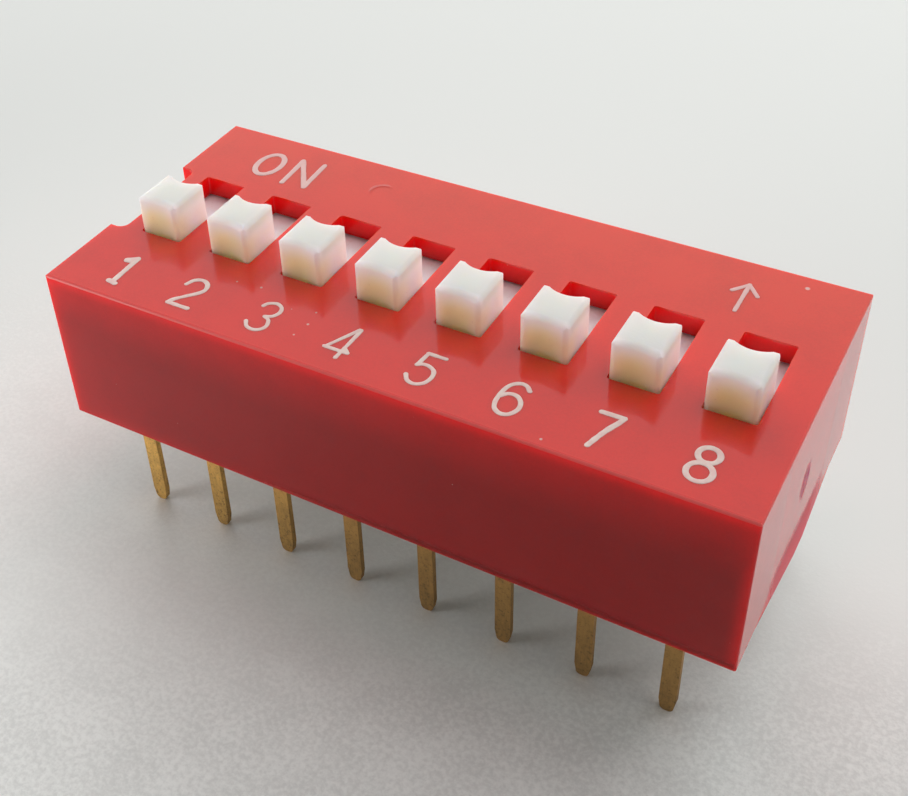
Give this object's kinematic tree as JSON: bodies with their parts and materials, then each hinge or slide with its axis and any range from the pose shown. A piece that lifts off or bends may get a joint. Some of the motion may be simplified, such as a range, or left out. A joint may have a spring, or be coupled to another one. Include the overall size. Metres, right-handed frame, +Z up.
{
  "type": "slide DIP switch",
  "caption": "Through-hole slide DIP switch with raised knobs in a slotted red cover, two rows of legs and a bridging spring contact under each slider",
  "frame": {"origin": "middle of the cover's rim, which is the plane that sits on the circuit board", "axes": "+X along the row towards station 8, +Y towards the ON side, +Z up out of the board"},
  "size_m": [0.0218, 0.0098, 0.0105],
  "materials": {
    "cover": "red moulded thermoplastic, fine satin",
    "base": "grey moulded thermoplastic, satin",
    "slider": "white moulded nylon, slightly translucent",
    "contact": "gilt spring strip",
    "terminal": "gilt strip, dulled"
  },
  "bodies": {
    "housing": {"cover": "cover", "base": "base", "front_terminal_1": "terminal", "front_terminal_2": "terminal", "front_terminal_3": "terminal", "front_terminal_4": "terminal", "front_terminal_5": "terminal", "front_terminal_6": "terminal", "front_terminal_7": "terminal", "front_terminal_8": "terminal", "back_terminal_1": "terminal", "back_terminal_2": "terminal", "back_terminal_3": "terminal", "back_terminal_4": "terminal", "back_terminal_5": "terminal", "back_terminal_6": "terminal", "back_terminal_7": "terminal", "back_terminal_8": "terminal"},
    "switch_1": {"slider_1": "slider", "contact_1": "contact"},
    "switch_2": {"slider_2": "slider", "contact_2": "contact"},
    "switch_3": {"slider_3": "slider", "contact_3": "contact"},
    "switch_4": {"slider_4": "slider", "contact_4": "contact"},
    "switch_5": {"slider_5": "slider", "contact_5": "contact"},
    "switch_6": {"slider_6": "slider", "contact_6": "contact"},
    "switch_7": {"slider_7": "slider", "contact_7": "contact"},
    "switch_8": {"slider_8": "slider", "contact_8": "contact"}
  },
  "joints": [
    {"name": "slide_1", "type": "slide", "parent": "housing", "child": "switch_1", "axis": [0, 1, 0], "range_m": [0, 0.00186]},
    {"name": "slide_2", "type": "slide", "parent": "housing", "child": "switch_2", "axis": [0, 1, 0], "range_m": [0, 0.00186]},
    {"name": "slide_3", "type": "slide", "parent": "housing", "child": "switch_3", "axis": [0, 1, 0], "range_m": [0, 0.00186]},
    {"name": "slide_4", "type": "slide", "parent": "housing", "child": "switch_4", "axis": [0, 1, 0], "range_m": [0, 0.00186]},
    {"name": "slide_5", "type": "slide", "parent": "housing", "child": "switch_5", "axis": [0, 1, 0], "range_m": [0, 0.00186]},
    {"name": "slide_6", "type": "slide", "parent": "housing", "child": "switch_6", "axis": [0, 1, 0], "range_m": [0, 0.00186]},
    {"name": "slide_7", "type": "slide", "parent": "housing", "child": "switch_7", "axis": [0, 1, 0], "range_m": [0, 0.00186]},
    {"name": "slide_8", "type": "slide", "parent": "housing", "child": "switch_8", "axis": [0, 1, 0], "range_m": [0, 0.00186]}
  ]
}
